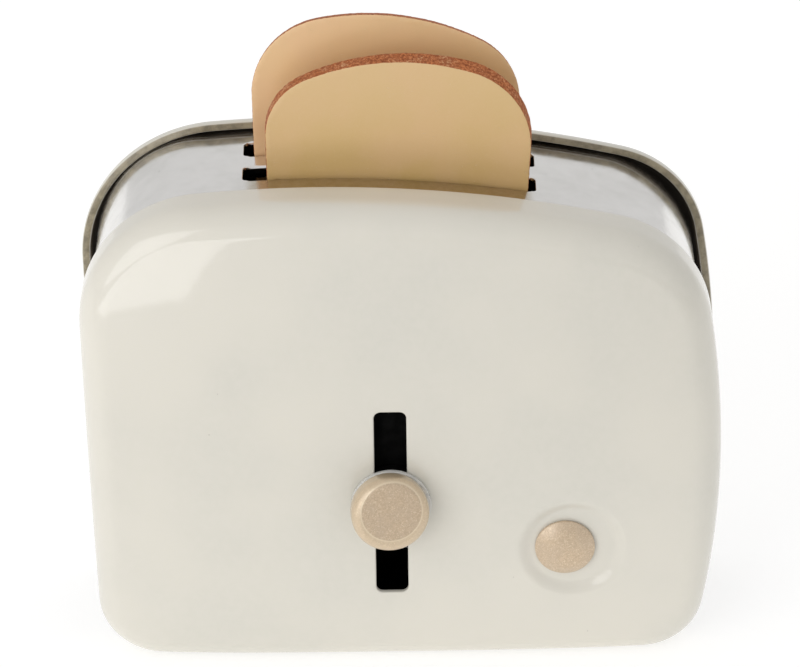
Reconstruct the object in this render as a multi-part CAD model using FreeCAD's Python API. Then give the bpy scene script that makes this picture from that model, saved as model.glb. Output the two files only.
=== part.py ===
import FreeCAD, Part
import math
import os

from FreeCAD import Vector

# A doll's-house toaster: a domed front cover and a shallow rear cover, both pressed and enamelled tin, on
# a tinplate band, with a lift lever, a dial button and two loose slices of toast.
# Millimetres, +Z up, the front faces -Y.  The sizes below are measured from the middle plane of the
# open part of the band; place() moves the finished pieces so that the origin is the centre of the
# whole toy's footprint.

# ---- body outline, seen from the front -------------------------------------------------------
body_width = 60.0            # at half height
body_height = 48.9
body_middle_x = 0.23         # the sides lean, so the middle at half height is a little to the right
top_arc_radius = 122.4       # low arc along the top
top_peak_x = -7.9            # the arc is highest left of the middle, so the right shoulder is lower
top_left_radius = 12.2
top_right_radius = 11.5
bottom_left_radius = 6.05
bottom_right_radius = 5.9
left_side_radius = 2500.0    # the left side is almost straight, the right one is bowed
right_side_radius = 95.0
left_side_lean = 1.0         # degrees by which a side spreads towards the top
right_side_lean = -1.7

# ---- covers ----------------------------------------------------------------------------------
cover_sheet = 0.45
front_depth = 5.7            # from the skirt's cut edge to the middle of the domed face
front_crown = 0.6            # how far the face falls back at the middle of its edges
front_edge_radius = 2.9      # rounding between the face and the skirt
rear_depth = 1.65            # the rear cover is a shallow pan with a flat face
rear_edge_radius = 1.2
rear_margin = 0.43           # it is pressed a little larger than the front one
rear_shift_x = -0.16         # and sits a little to the left
rear_top_left_radius = 14.0
rear_top_right_radius = 10.6
crown_step = 5.0             # spacing of the points that carry the crown surface
crown_margin = 3.0           # the crown surface runs past the outline by this much

# ---- band ------------------------------------------------------------------------------------
band_sheet = 0.3
band_open_width = 13.2       # band left showing between the two covers
band_gap_top = 0.3           # air between the skirts and the band
band_gap_side = 0.55
band_gap_bottom = 0.3
band_insert = 0.8            # how far the band reaches into the front cover
front_flange_sheet = 0.3     # outward flange, soldered to the inside of the front cover's skirt
rear_flange_width = 1.8      # inward flange, soldered to the inside of the rear cover's face
rear_bend_radius = 0.6
seam_lap_width = 6.0
seam_lap_thickness = 0.25
seam_lap_end_gap = 0.3

# ---- bread slots in the band -----------------------------------------------------------------
bread_slot_length = 27.4
bread_slot_width = 2.7
bread_slot_pitch = 5.07
bread_slot_shift_x = -0.8    # the pair of slots sits left of the middle, and a little behind it
bread_slot_shift_y = 0.6
bread_slot_corner = 0.4
slot_lip_depth = 1.2         # lips folded down along the long edges of each slot
slot_lip_end_gap = 0.5

# ---- lever slot in the front cover -----------------------------------------------------------
lever_slot_x = -1.07
lever_slot_z = 18.03
lever_slot_width = 3.05
lever_slot_length = 19.75
lever_slot_corner = 0.65

# ---- lift knob and its washers ---------------------------------------------------------------
knob_radius = 3.7
knob_thickness = 2.1
knob_edge_radius = 0.9
knob_back_radius = 0.3
knob_gap = 0.75              # from the washer to the middle of the knob's back
knob_tilt_up = 9.0           # the knob is set on its shank a little askew
knob_tilt_right = 6.0
knob_offset_x = -0.22        # and a little off its middle
knob_offset_z = 0.25
shank_clearance = 0.1        # each side of the shank in the lever slot
tenon_shoulder = 0.55        # step from the shank down to the riveted tenon
tenon_head_overlap = 0.6
tenon_head_height = 0.4
washer_running_gap = 0.05    # between a sliding washer and the cover
washer_hole_clearance = 0.1
outer_washer_radius = 3.8
outer_washer_thickness = 0.5
inner_washer_overlap = 2.05  # past the lever slot's edge
inner_washer_thickness = 0.4
inner_washer_standoff = 0.3  # room behind the face, because the crown comes in towards the slot's ends
spring_washer_width = 1.45
spring_washer_sheet = 0.2
spring_washer_height = 0.5

# ---- lift plate and bread tray ---------------------------------------------------------------
lift_sheet = 0.4
lift_width = 15.0
lift_below_knob = 3.4
lift_bend_radius = 1.0
tray_end_gap = 1.4           # the tray ends short of the bread slots' ends
tray_depth = 17.0            # from the body's top down to the tray's floor, with the lever at rest
tray_wall_height = 2.2
tray_flange = 3.2
tray_front_ridge = 1.2
tray_clearance = 0.25        # each side of a slice's foot
shelf_overhang = 0.6         # the lift plate's shelf runs past the tray's rear wall
rivet_radius = 0.6
rivet_head_overlap = 0.5
rivet_head_height = 0.4
rivet_edge = 3.0             # from the lift plate's side to each rivet

# ---- slices of toast -------------------------------------------------------------------------
slice_thickness = 1.25
slice_top_draft = 17.0       # the cast edge slopes, so one face is larger than the other
slice_side_draft = 3.0
slice_slot_clearance = 0.2   # from the slot's front edge to the slice's front face
slice_seat_gap = 0.03
slice_foot_radius = 2.5
slice_side_radius = 500.0
front_slice_height = 28.3
front_slice_arc_radius = 22.1
front_slice_gaps = (2.25, 0.7)          # room at mid height to the left and right ends of its slot
front_slice_leans = (1.1, 4.0)          # degrees by which its sides spread towards the top
front_slice_peak = 0.64                 # its arc is highest this far from its middle
front_slice_shoulders = (6.2, 7.95)
front_slice_skew = -0.6                 # from the larger face's highest point to the smaller one's
rear_slice_height = 30.45
rear_slice_arc_radius = 22.7
rear_slice_gaps = (1.0, 1.2)
rear_slice_leans = (1.1, -1.1)
rear_slice_peak = -2.05
rear_slice_shoulders = (7.8, 7.0)
rear_slice_skew = 0.0

# ---- dial button in its dish -----------------------------------------------------------------
dish_x = 16.1
dish_z = 12.75
dish_floor_margin = 1.15     # flat floor showing around a centred button
dish_wall_run = 1.2          # width of the dish's sloping wall
dish_depth = 0.5
button_offset_x = -0.7       # the hole was punched a little off the dish's middle
button_offset_z = 0.05
button_radius = 2.85
button_height = 1.05
button_rim = 0.3             # height of the button's straight rim under the dome
button_shank_radius = 1.0
button_hole_clearance = 0.06
button_running_gap = 0.06
button_washer_overlap = 1.2
button_washer_thickness = 0.4
button_tail = 0.3            # shank left standing behind its washer

# ---- places worked out from the sizes above --------------------------------------------------
skirt_y = band_open_width / 2
face_y = skirt_y + front_depth
rear_face_y = skirt_y + rear_depth
band_front_y = -skirt_y - band_insert
band_rear_y = rear_face_y - cover_sheet
mid_z = body_height / 2
washer_back_y = -face_y - washer_running_gap
washer_front_y = washer_back_y - outer_washer_thickness
inner_washer_y = -face_y + cover_sheet + inner_washer_standoff
spring_washer_y = inner_washer_y + inner_washer_thickness
lift_plate_y = spring_washer_y + spring_washer_height
shank_radius = lever_slot_width / 2 - shank_clearance
tenon_radius = shank_radius - tenon_shoulder
inner_washer_radius = lever_slot_width / 2 + inner_washer_overlap
washer_hole_radius = shank_radius + washer_hole_clearance
knob_tilt = math.hypot(math.radians(knob_tilt_up), math.radians(knob_tilt_right))
knob_reach = (-washer_front_y - face_y + knob_gap
              + (knob_thickness - knob_edge_radius) * math.cos(knob_tilt)
              + (knob_radius - knob_edge_radius) * math.sin(knob_tilt) + knob_edge_radius)
body_shift_y = (face_y + knob_reach - rear_face_y) / 2
front_slot_y = bread_slot_shift_y - bread_slot_pitch / 2
rear_slot_y = bread_slot_shift_y + bread_slot_pitch / 2
front_slice_y = front_slot_y - bread_slot_width / 2 + slice_slot_clearance
rear_slice_y = rear_slot_y - bread_slot_width / 2 + slice_slot_clearance
slice_top_grow = slice_thickness * math.tan(math.radians(slice_top_draft))
slice_side_grow = slice_thickness * math.tan(math.radians(slice_side_draft))
tray_length = bread_slot_length - 2 * tray_end_gap
tray_floor_z = body_height - tray_depth
tray_back_y = rear_slice_y + slice_thickness + tray_clearance + lift_sheet
rivet_y = front_slice_y - tray_clearance - tray_front_ridge - tray_flange / 2
rivet_places = [lever_slot_x + sign * (lift_width / 2 - rivet_edge) for sign in (-1, 1)]
dish_floor_radius = button_radius + dish_floor_margin
button_x = dish_x + button_offset_x
button_z = dish_z + button_offset_z
BIG = 200.0                  # longer than anything here, for cutting tools
SAME = 1e-6                  # two places closer than this are one


def circle_cross(centre_a, radius_a, centre_b, radius_b, near):
    """The crossing of two circles in the XZ plane that lies nearest to the point near."""
    gap = centre_b - centre_a
    span = gap.Length
    along = (radius_a ** 2 - radius_b ** 2 + span ** 2) / (2 * span)
    aside = math.sqrt(radius_a ** 2 - along ** 2)
    unit = Vector(gap).normalize()
    normal = Vector(-unit.z, 0, unit.x)
    crossings = [centre_a + unit * along + normal * sign * aside for sign in (1, -1)]
    return min(crossings, key=lambda point: (point - near).Length)


def arc_between(centre, radius, start, end):
    """The shorter arc about centre from start to end."""
    middle = (start - centre).normalize() + (end - centre).normalize()
    return Part.Arc(start, centre + middle.normalize() * radius, end).toShape()


class Arch:
    """A closed outline in the XZ plane: a flat foot, bowed sides, a low arc on top and round corners."""

    def __init__(self, left, right, bottom, top, arc_radius, peak_x, side_radii, shoulders, feet,
                 side_leans=(0.0, 0.0)):
        self.left, self.right = left, right
        self.bottom, self.top = bottom, top
        self.arc_radius, self.peak_x = arc_radius, peak_x
        self.side_radii = side_radii
        self.shoulders = shoulders
        self.feet = feet
        self.side_leans = side_leans

    def wire(self, side=0.0, top=0.0, bottom=0.0):
        """The outline moved inwards by side, top and bottom, as a closed wire at y = 0."""
        middle = (self.bottom + self.top) / 2
        floor = self.bottom + bottom
        arc_centre = Vector(self.peak_x, 0, self.top - self.arc_radius)
        arc_radius = self.arc_radius - top
        points = []
        edges = []
        sides = []
        for index, sign, edge_x in ((0, -1, self.left), (1, 1, self.right)):
            side_radius = self.side_radii[index]
            shoulder = self.shoulders[index]
            foot = self.feet[index]
            lean = math.radians(self.side_leans[index])
            bow_centre = Vector(edge_x - sign * side_radius * math.cos(lean), 0,
                                middle + side_radius * math.sin(lean))
            bow_radius = side_radius - side
            shoulder_radius = shoulder - (side + top) / 2
            foot_radius = foot - (side + bottom) / 2
            near = Vector(edge_x - sign * shoulder, 0, self.top - shoulder)
            shoulder_centre = circle_cross(
                arc_centre, arc_radius - shoulder_radius, bow_centre, bow_radius - shoulder_radius, near)
            foot_z = floor + foot_radius
            foot_reach = math.sqrt((bow_radius - foot_radius) ** 2 - (foot_z - bow_centre.z) ** 2)
            foot_centre = Vector(bow_centre.x + sign * foot_reach, 0, foot_z)
            on_arc = arc_centre + (shoulder_centre - arc_centre).normalize() * arc_radius
            on_bow_high = bow_centre + (shoulder_centre - bow_centre).normalize() * bow_radius
            on_bow_low = bow_centre + (foot_centre - bow_centre).normalize() * bow_radius
            on_floor = Vector(foot_centre.x, 0, floor)
            points.append((on_arc, on_floor))
            sides.append([
                arc_between(shoulder_centre, shoulder_radius, on_arc, on_bow_high),
                arc_between(bow_centre, bow_radius, on_bow_high, on_bow_low),
                arc_between(foot_centre, foot_radius, on_bow_low, on_floor)])
        edges.append(arc_between(arc_centre, arc_radius, points[0][0], points[1][0]))
        edges.extend(sides[1])
        edges.append(Part.makeLine(points[1][1], points[0][1]))
        edges.extend(sides[0])
        return Part.Wire(Part.__sortEdges__(edges))


body_outline = Arch(
    body_middle_x - body_width / 2, body_middle_x + body_width / 2, 0.0, body_height,
    top_arc_radius, top_peak_x, (left_side_radius, right_side_radius),
    (top_left_radius, top_right_radius), (bottom_left_radius, bottom_right_radius),
    (left_side_lean, right_side_lean))
rear_outline = Arch(
    body_outline.left - rear_margin + rear_shift_x, body_outline.right + rear_margin + rear_shift_x,
    0.0, body_height + rear_margin, top_arc_radius + rear_margin, top_peak_x + rear_shift_x,
    (left_side_radius + rear_margin, right_side_radius + rear_margin),
    (rear_top_left_radius, rear_top_right_radius), (bottom_left_radius, bottom_right_radius),
    (left_side_lean, right_side_lean))


def prism(wire, start_y, end_y):
    """A solid from a closed wire at y = 0, running from start_y to end_y."""
    face = Part.Face(wire)
    face.translate(Vector(0, start_y, 0))
    return face.extrude(Vector(0, end_y - start_y, 0))


def block(x_range, y_range, z_range):
    """A box from its three ranges."""
    size = [high - low for low, high in (x_range, y_range, z_range)]
    return Part.makeBox(*size, Vector(x_range[0], y_range[0], z_range[0]))


def rod(x, z, radius, start_y, end_y):
    """A cylinder along Y."""
    return Part.makeCylinder(radius, end_y - start_y, Vector(x, start_y, z), Vector(0, 1, 0))


def ring(x, z, outer_radius, inner_radius, start_y, end_y):
    """A flat washer along Y."""
    return rod(x, z, outer_radius, start_y, end_y).cut(rod(x, z, inner_radius, start_y, end_y))


def turned(profile, x, z):
    """A solid turned about the line along Y through (x, z), from a closed list of (radius, y) points."""
    corners = [Vector(x + radius, y, z) for radius, y in profile]
    face = Part.Face(Part.makePolygon(corners + corners[:1]))
    return face.revolve(Vector(x, 0, z), Vector(0, 1, 0), 360)


def crown_drop(x, z):
    """How far the front face has fallen back at (x, z); it is front_crown at the middle of each edge."""
    across = abs(x - body_middle_x) / (body_width / 2)
    upward = abs(z - mid_z) / (body_height / 2)
    return front_crown * (across ** 3 + upward ** 3) ** 2


def crown_surface(face_offset):
    """The crowned front face as a smooth surface, moved back by face_offset."""
    half_x = body_width / 2 + crown_margin
    half_z = body_height / 2 + crown_margin
    steps_x = round(2 * half_x / crown_step)
    steps_z = round(2 * half_z / crown_step)
    rows = []
    for i in range(steps_x + 1):
        x = body_middle_x - half_x + 2 * half_x * i / steps_x
        row = []
        for j in range(steps_z + 1):
            z = mid_z - half_z + 2 * half_z * j / steps_z
            row.append(Vector(x, -face_y + face_offset + crown_drop(x, z), z))
        rows.append(row)
    surface = Part.BSplineSurface()
    surface.interpolate(rows)
    return surface


def front_block(inset, back_y):
    """The solid under the front cover's skin at the given inset, from its crowned face back to back_y."""
    blank = prism(body_outline.wire(inset, inset, inset), -face_y - crown_margin, back_y)
    outside = crown_surface(inset).toShape().extrude(Vector(0, -BIG, 0))
    crowned = blank.cut(outside)
    face = next(f for f in crowned.Faces if isinstance(f.Surface, Part.BSplineSurface))
    return crowned.makeFillet(front_edge_radius - inset, face.Edges)


def rounded_end(wire, start_y, end_y, radius):
    """A prism whose edges at end_y are rounded."""
    solid = prism(wire, start_y, end_y)
    return solid.makeFillet(radius, [e for e in solid.Edges if abs(e.CenterOfMass.y - end_y) < SAME])


def dish_tool(offset):
    """The pressed dish around the button, grown by offset for the skin's inner side."""
    rim_y = -face_y + crown_drop(dish_x, dish_z)
    slope = math.atan2(dish_depth, dish_wall_run)
    floor_radius = dish_floor_radius + offset * math.tan(slope / 2)
    floor_y = rim_y + dish_depth + offset
    mouth_y = floor_y - 2 * (dish_depth + offset)
    mouth_radius = floor_radius + (floor_y - mouth_y) / math.tan(slope)
    return turned([(0, floor_y), (floor_radius, floor_y), (mouth_radius, mouth_y), (0, mouth_y)],
                  dish_x, dish_z)


def lever_slot_tool():
    """The upright slot that the lever's shank runs in."""
    half_width = lever_slot_width / 2
    half_length = lever_slot_length / 2
    slot = block((lever_slot_x - half_width, lever_slot_x + half_width), (-BIG, -skirt_y),
                 (lever_slot_z - half_length, lever_slot_z + half_length))
    long_edges = [e for e in slot.Edges if abs(e.tangentAt(0).y) > 1 - SAME]
    return slot.makeFillet(lever_slot_corner, long_edges)


def front_cover():
    """The front cover: a domed pan with the lever slot, the dish and the hole for the button's shank."""
    outer = front_block(0.0, -skirt_y).cut(dish_tool(0.0))
    inner = front_block(cover_sheet, 0.0).cut(dish_tool(cover_sheet))
    hole = rod(button_x, button_z, button_shank_radius + button_hole_clearance, -BIG, -skirt_y)
    return outer.cut(inner).cut(lever_slot_tool()).cut(hole)


def rear_cover():
    """The rear cover: a shallow flat pan."""
    inside = rear_outline.wire(cover_sheet, cover_sheet, cover_sheet)
    outer = rounded_end(rear_outline.wire(), skirt_y, rear_face_y, rear_edge_radius)
    inner = rounded_end(inside, 0.0, rear_face_y - cover_sheet, rear_edge_radius - cover_sheet)
    return outer.cut(inner)


def band_wire(extra):
    """The band's outline, set in from its own outer surface by extra."""
    return body_outline.wire(cover_sheet + band_gap_side + extra, cover_sheet + band_gap_top + extra,
                             cover_sheet + band_gap_bottom + extra)


def bread_slot_tool(slot_y):
    """One bread slot, cut down through the top of the band."""
    half_length = bread_slot_length / 2
    half_width = bread_slot_width / 2
    slot = block((bread_slot_shift_x - half_length, bread_slot_shift_x + half_length),
                 (slot_y - half_width, slot_y + half_width), (mid_z, BIG))
    upright = [e for e in slot.Edges if abs(e.tangentAt(0).z) > 1 - SAME]
    return slot.makeFillet(bread_slot_corner, upright)


def slot_lips(slot_y):
    """The two lips folded down along a bread slot, which follow the band's arc."""
    depth_ring = prism(band_wire(0.0), -skirt_y, skirt_y).cut(prism(band_wire(slot_lip_depth), -BIG, BIG))
    half_length = bread_slot_length / 2 - slot_lip_end_gap
    x_range = (bread_slot_shift_x - half_length, bread_slot_shift_x + half_length)
    edge = bread_slot_width / 2
    lips = []
    for near, far in ((slot_y - edge - band_sheet, slot_y - edge), (slot_y + edge, slot_y + edge + band_sheet)):
        strip = block(x_range, (near, far), (mid_z, body_height))
        lips.append(depth_ring.common(strip))
    return lips


def band():
    """The tinplate sleeve between the covers, with its slots, folded lips, end flanges and bottom seam."""
    outer = rounded_end(band_wire(0.0), band_front_y, band_rear_y, rear_bend_radius)
    inner = rounded_end(band_wire(band_sheet), -BIG, band_rear_y - band_sheet, rear_bend_radius - band_sheet)
    flange_wire = body_outline.wire(cover_sheet, cover_sheet, cover_sheet)
    front_flange = prism(flange_wire, band_front_y, band_front_y + front_flange_sheet)
    sleeve = outer.fuse(front_flange).cut(inner).cut(prism(band_wire(rear_flange_width), -BIG, BIG))
    band_bottom = cover_sheet + band_gap_bottom
    lap_half_y = skirt_y - seam_lap_end_gap
    lap = block((-seam_lap_width / 2, seam_lap_width / 2), (-lap_half_y, lap_half_y),
                (band_bottom - seam_lap_thickness, band_bottom))
    sleeve = sleeve.fuse(lap)
    for slot_y in (front_slot_y, rear_slot_y):
        sleeve = sleeve.cut(bread_slot_tool(slot_y))
        for lip in slot_lips(slot_y):
            sleeve = sleeve.fuse(lip)
    return sleeve.removeSplitter()


def knob_disc():
    """The knob's disc, turned about +Z with its back at z = 0: a flat face with a well rounded edge."""
    top = knob_thickness
    edge = knob_edge_radius
    back = knob_back_radius
    turn = math.sqrt(0.5)
    corner_back = Part.Arc(Vector(knob_radius - back, 0, 0),
                           Vector(knob_radius - back * (1 - turn), 0, back * (1 - turn)),
                           Vector(knob_radius, 0, back)).toShape()
    corner_front = Part.Arc(Vector(knob_radius, 0, top - edge),
                            Vector(knob_radius - edge * (1 - turn), 0, top - edge * (1 - turn)),
                            Vector(knob_radius - edge, 0, top)).toShape()
    profile = Part.Wire([
        Part.makeLine(Vector(0, 0, 0), Vector(knob_radius - back, 0, 0)), corner_back,
        Part.makeLine(Vector(knob_radius, 0, back), Vector(knob_radius, 0, top - edge)), corner_front,
        Part.makeLine(Vector(knob_radius - edge, 0, top), Vector(0, 0, top)),
        Part.makeLine(Vector(0, 0, top), Vector(0, 0, 0))])
    return Part.Face(profile).revolve(Vector(0, 0, 0), Vector(0, 0, 1), 360)


def lift_knob():
    """The lever's knob: a disc set a little askew on a round shank, with a riveted tenon behind the plate."""
    x, z = lever_slot_x, lever_slot_z
    back_y = washer_front_y - knob_gap
    disc = knob_disc()
    disc.rotate(Vector(0, 0, 0), Vector(1, 0, 0), 90 - knob_tilt_up)
    disc.rotate(Vector(0, 0, 0), Vector(0, 0, 1), knob_tilt_right)
    disc.translate(Vector(x + knob_offset_x, back_y, z + knob_offset_z))
    shank = rod(x, z, shank_radius, back_y - knob_thickness / 2, lift_plate_y)
    tenon = rod(x, z, tenon_radius, lift_plate_y, lift_plate_y + lift_sheet)
    head = rod(x, z, tenon_radius + tenon_head_overlap, lift_plate_y + lift_sheet,
               lift_plate_y + lift_sheet + tenon_head_height)
    head = head.makeFillet(tenon_head_height / 2, [max(head.Edges, key=lambda e: e.CenterOfMass.y)])
    return disc.fuse([shank, tenon, head]).removeSplitter()


def knob_washer():
    """The clear plastic washer between the knob and the front cover."""
    return ring(lever_slot_x, lever_slot_z, outer_washer_radius, washer_hole_radius,
                washer_front_y, washer_back_y)


def inner_washer():
    """The washer that slides on the inside of the front cover."""
    return ring(lever_slot_x, lever_slot_z, inner_washer_radius, washer_hole_radius,
                inner_washer_y, spring_washer_y)


def spring_washer():
    """The dished spring washer that keeps the lever where it is put."""
    inner = washer_hole_radius
    outer = inner + spring_washer_width
    rise = spring_washer_height - spring_washer_sheet
    start = spring_washer_y
    profile = [(inner, start + rise), (outer, start), (outer, start + spring_washer_sheet),
               (inner, start + spring_washer_height)]
    return turned(profile, lever_slot_x, lever_slot_z)


def lift_plate():
    """The bent plate behind the cover: its upright carries the knob, its shelf carries the tray."""
    half = lift_width / 2
    x_range = (lever_slot_x - half, lever_slot_x + half)
    shelf_top = tray_floor_z - lift_sheet
    upright = block(x_range, (lift_plate_y, lift_plate_y + lift_sheet),
                    (lever_slot_z - lift_below_knob, shelf_top))
    shelf = block(x_range, (lift_plate_y, tray_back_y + shelf_overhang), (shelf_top - lift_sheet, shelf_top))
    bent = upright.fuse(shelf).removeSplitter()
    bent = bend_edge(bent, lift_plate_y, shelf_top, lift_bend_radius)
    bent = bend_edge(bent, lift_plate_y + lift_sheet, shelf_top - lift_sheet, lift_bend_radius - lift_sheet)
    bent = bent.cut(rod(lever_slot_x, lever_slot_z, tenon_radius, -face_y, 0))
    return rivet_holes(bent)


def bend_edge(sheet, y, z, radius):
    """A sheet with its edge along X at (y, z) rounded to a bend."""
    corner = Vector(lever_slot_x, y, z)
    return sheet.makeFillet(radius, [e for e in sheet.Edges if (e.CenterOfMass - corner).Length < SAME])


def rivet_holes(sheet):
    """A sheet with the holes for the tray rivets drilled through it."""
    for x in rivet_places:
        sheet = sheet.cut(Part.makeCylinder(rivet_radius, BIG, Vector(x, rivet_y, 0)))
    return sheet


def bread_tray():
    """The folded tray: a flange, then a channel for each slice between upstanding ridges."""
    sheet = lift_sheet
    low = tray_floor_z - sheet
    floor = tray_floor_z
    high = tray_floor_z + tray_wall_height
    front_in = front_slice_y - tray_clearance
    front_out = front_slice_y + slice_thickness + tray_clearance
    rear_in = rear_slice_y - tray_clearance
    rear_out = rear_slice_y + slice_thickness + tray_clearance
    ridge = front_in - tray_front_ridge
    upper = [(ridge - tray_flange, floor), (ridge, floor), (ridge, high), (front_in, high), (front_in, floor),
             (front_out, floor), (front_out, high), (rear_in, high), (rear_in, floor), (rear_out, floor),
             (rear_out, high), (rear_out + sheet, high)]
    lower = [(rear_out + sheet, low), (rear_in - sheet, low), (rear_in - sheet, high - sheet),
             (front_out + sheet, high - sheet), (front_out + sheet, low), (front_in - sheet, low),
             (front_in - sheet, high - sheet), (ridge + sheet, high - sheet), (ridge + sheet, low),
             (ridge - tray_flange, low)]
    corners = [Vector(bread_slot_shift_x - tray_length / 2, y, z) for y, z in upper + lower]
    tray = Part.Face(Part.makePolygon(corners + corners[:1])).extrude(Vector(tray_length, 0, 0))
    return rivet_holes(tray)


def tray_rivets():
    """The two rivets that hold the tray's flange on the lift plate's shelf."""
    rivets = []
    under = tray_floor_z - 2 * lift_sheet
    head_radius = rivet_radius + rivet_head_overlap
    for x in rivet_places:
        shank = Part.makeCylinder(rivet_radius, 2 * lift_sheet, Vector(x, rivet_y, under))
        top = Part.makeCylinder(head_radius, rivet_head_height, Vector(x, rivet_y, tray_floor_z))
        tail = Part.makeCylinder(head_radius, rivet_head_height,
                                 Vector(x, rivet_y, under - rivet_head_height))
        top = top.makeFillet(rivet_head_height / 2, [max(top.Edges, key=lambda e: e.CenterOfMass.z)])
        tail = tail.makeFillet(rivet_head_height / 2, [min(tail.Edges, key=lambda e: e.CenterOfMass.z)])
        rivets.append(shank.fuse([top, tail]).removeSplitter())
    return Part.makeCompound(rivets)


def toast_slice(start_y, height, arc_radius, gaps, leans, peak, shoulders, skew, smaller_in_front):
    """A cast slice: a smaller face and a larger one, with the sloping crust between them."""
    left = bread_slot_shift_x - bread_slot_length / 2 + gaps[0]
    right = bread_slot_shift_x + bread_slot_length / 2 - gaps[1]
    peak_x = (left + right) / 2 + peak
    foot_z = tray_floor_z + slice_seat_gap
    wires = []
    for side, top, shift in ((slice_side_grow, slice_top_grow, skew), (0.0, 0.0, 0.0)):
        face = Arch(left + side, right - side, foot_z, foot_z + height - top, arc_radius - top,
                    peak_x + shift, (slice_side_radius, slice_side_radius), shoulders,
                    (slice_foot_radius, slice_foot_radius), leans)
        wires.append(face.wire())
    front, back = wires if smaller_in_front else wires[::-1]
    front.translate(Vector(0, start_y, 0))
    back.translate(Vector(0, start_y + slice_thickness, 0))
    return Part.makeLoft([front, back], True, True)


def slice_front():
    """The front slice: its smaller face is in front, so its crust shows from above."""
    return toast_slice(front_slice_y, front_slice_height, front_slice_arc_radius, front_slice_gaps,
                       front_slice_leans, front_slice_peak, front_slice_shoulders, front_slice_skew, True)


def slice_rear():
    """The rear slice, put in the other way round: its larger face is in front."""
    return toast_slice(rear_slice_y, rear_slice_height, rear_slice_arc_radius, rear_slice_gaps,
                       rear_slice_leans, rear_slice_peak, rear_slice_shoulders, rear_slice_skew, False)


def dish_floor_y():
    """The outer surface of the dish's floor."""
    return -face_y + crown_drop(dish_x, dish_z) + dish_depth


def button():
    """The domed dial button with its shank through the cover."""
    back_y = dish_floor_y() - button_running_gap
    rim_y = back_y - button_rim
    rise = button_height - button_rim
    dome_radius = (button_radius ** 2 + rise ** 2) / (2 * rise)
    half_turn = math.asin(button_radius / dome_radius) / 2
    dome_centre = Vector(0, rim_y - rise + dome_radius, 0)
    on_dome = dome_centre + Vector(math.sin(half_turn), -math.cos(half_turn), 0) * dome_radius
    tail_y = dish_floor_y() + cover_sheet + button_running_gap + button_washer_thickness + button_tail
    profile = Part.Wire([
        Part.Arc(Vector(0, rim_y - rise, 0), on_dome, Vector(button_radius, rim_y, 0)).toShape(),
        Part.makeLine(Vector(button_radius, rim_y, 0), Vector(button_radius, back_y, 0)),
        Part.makeLine(Vector(button_radius, back_y, 0), Vector(button_shank_radius, back_y, 0)),
        Part.makeLine(Vector(button_shank_radius, back_y, 0), Vector(button_shank_radius, tail_y, 0)),
        Part.makeLine(Vector(button_shank_radius, tail_y, 0), Vector(0, tail_y, 0)),
        Part.makeLine(Vector(0, tail_y, 0), Vector(0, rim_y - rise, 0))])
    turned_button = Part.Face(profile).revolve(Vector(0, 0, 0), Vector(0, 1, 0), 360)
    turned_button.translate(Vector(button_x, 0, button_z))
    return turned_button


def button_washer():
    """The push-on washer that holds the button from inside."""
    start = dish_floor_y() + cover_sheet + button_running_gap
    return ring(button_x, button_z, button_shank_radius + button_washer_overlap, button_shank_radius,
                start, start + button_washer_thickness)


def place(shape):
    """Moves a piece from the body's middle plane to the toy's own origin."""
    shape.translate(Vector(0, body_shift_y, 0))
    return shape


NODES = (front_cover, rear_cover, band, lift_knob, knob_washer, inner_washer, spring_washer, lift_plate,
         bread_tray, tray_rivets, slice_front, slice_rear, button, button_washer)

os.makedirs("parts", exist_ok=True)
for node in NODES:
    place(node()).exportStep("parts/" + node.__name__ + ".step")
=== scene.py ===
import math
from dataclasses import dataclass
from itertools import accumulate

import bmesh
import bpy
import numpy as np
from mathutils import Matrix, Vector, noise
from mathutils.geometry import delaunay_2d_cdt

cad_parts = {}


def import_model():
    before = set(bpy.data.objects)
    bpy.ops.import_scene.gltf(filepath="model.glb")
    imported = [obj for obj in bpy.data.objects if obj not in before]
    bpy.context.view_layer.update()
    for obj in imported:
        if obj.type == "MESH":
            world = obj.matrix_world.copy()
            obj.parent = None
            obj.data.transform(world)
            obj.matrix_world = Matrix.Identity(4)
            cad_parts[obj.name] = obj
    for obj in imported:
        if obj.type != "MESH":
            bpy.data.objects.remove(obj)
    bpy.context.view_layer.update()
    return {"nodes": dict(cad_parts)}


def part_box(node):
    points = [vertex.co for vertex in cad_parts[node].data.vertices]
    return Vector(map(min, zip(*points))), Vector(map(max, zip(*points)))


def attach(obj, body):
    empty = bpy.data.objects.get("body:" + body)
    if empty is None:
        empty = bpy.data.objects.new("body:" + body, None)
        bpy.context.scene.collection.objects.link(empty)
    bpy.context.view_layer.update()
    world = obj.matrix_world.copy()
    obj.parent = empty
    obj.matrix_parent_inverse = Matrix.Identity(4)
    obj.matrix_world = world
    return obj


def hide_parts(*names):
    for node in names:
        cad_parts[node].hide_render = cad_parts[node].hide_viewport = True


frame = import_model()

# A doll's-house toaster: enamelled tin covers on a tinplate band, a lift knob, a dial button and toast.
# Forms are worked out in millimetres and turned into metres when a piece is made.  +Z up, front to -Y.

MM = 0.001


def place_object(name, data):
    """A new object in the scene."""
    made = bpy.data.objects.new(name, data)
    bpy.context.scene.collection.objects.link(made)
    return made


def cad(node):
    """The lowest and highest corner of a CAD node, in millimetres."""
    low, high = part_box(node)
    return Vector(low) / MM, Vector(high) / MM


front_low, front_high = cad("front_cover")
rear_low, rear_high = cad("rear_cover")
washer_low, washer_high = cad("knob_washer")
button_low, button_high = cad("button")

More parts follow.
